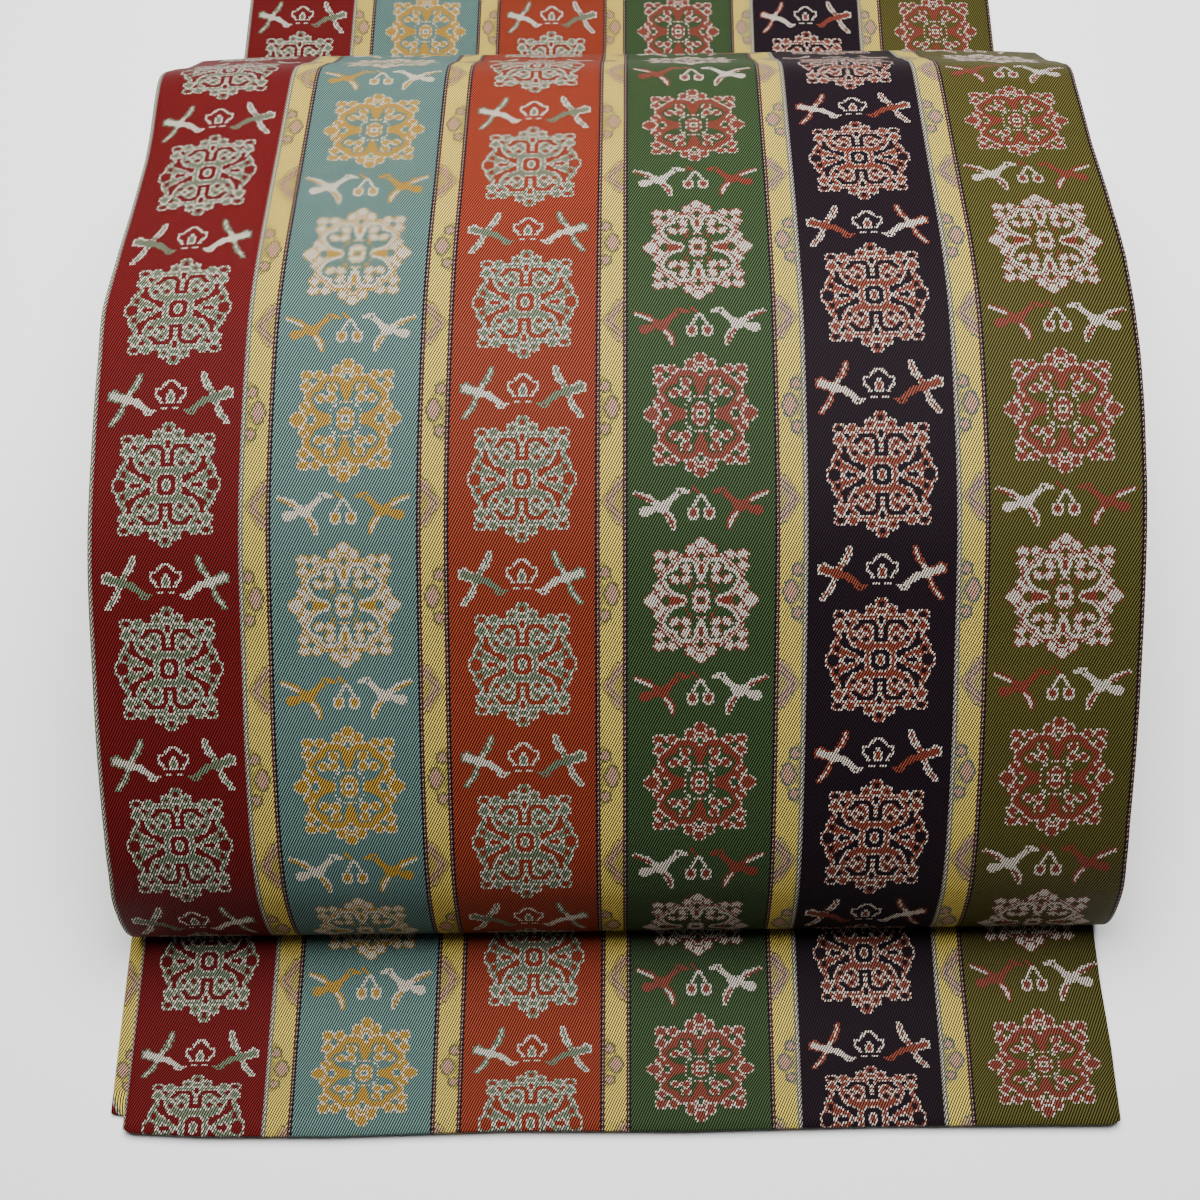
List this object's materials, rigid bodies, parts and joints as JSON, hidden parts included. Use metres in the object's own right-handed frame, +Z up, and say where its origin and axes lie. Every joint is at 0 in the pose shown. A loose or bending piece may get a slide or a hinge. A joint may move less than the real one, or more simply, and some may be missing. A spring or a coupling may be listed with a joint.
{
  "type": "obi sash",
  "caption": "Brocade obi sash laid out for display: flat near end, high folded hump with layered sides, flat far end.",
  "frame": {"origin": "middle of the footprint, on the surface that the sash lies on", "axes": "+X across the cloth, +Y along it from the near end to the far end, +Z up"},
  "size_m": [0.3148, 0.5326, 0.1139],
  "materials": {
    "front_brocade": "silk brocade, satin",
    "back_brocade": "silk brocade, satin",
    "folded_layers": "silk brocade, matt at the edges"
  },
  "bodies": {
    "root": {"near_end_front_cloth": "front_brocade", "near_end_back_cloth": "back_brocade", "hump_front_stretch": "front_brocade", "hump_back_stretch": "front_brocade", "far_run": "front_brocade", "folded_length": "folded_layers"}
  },
  "joints": []
}
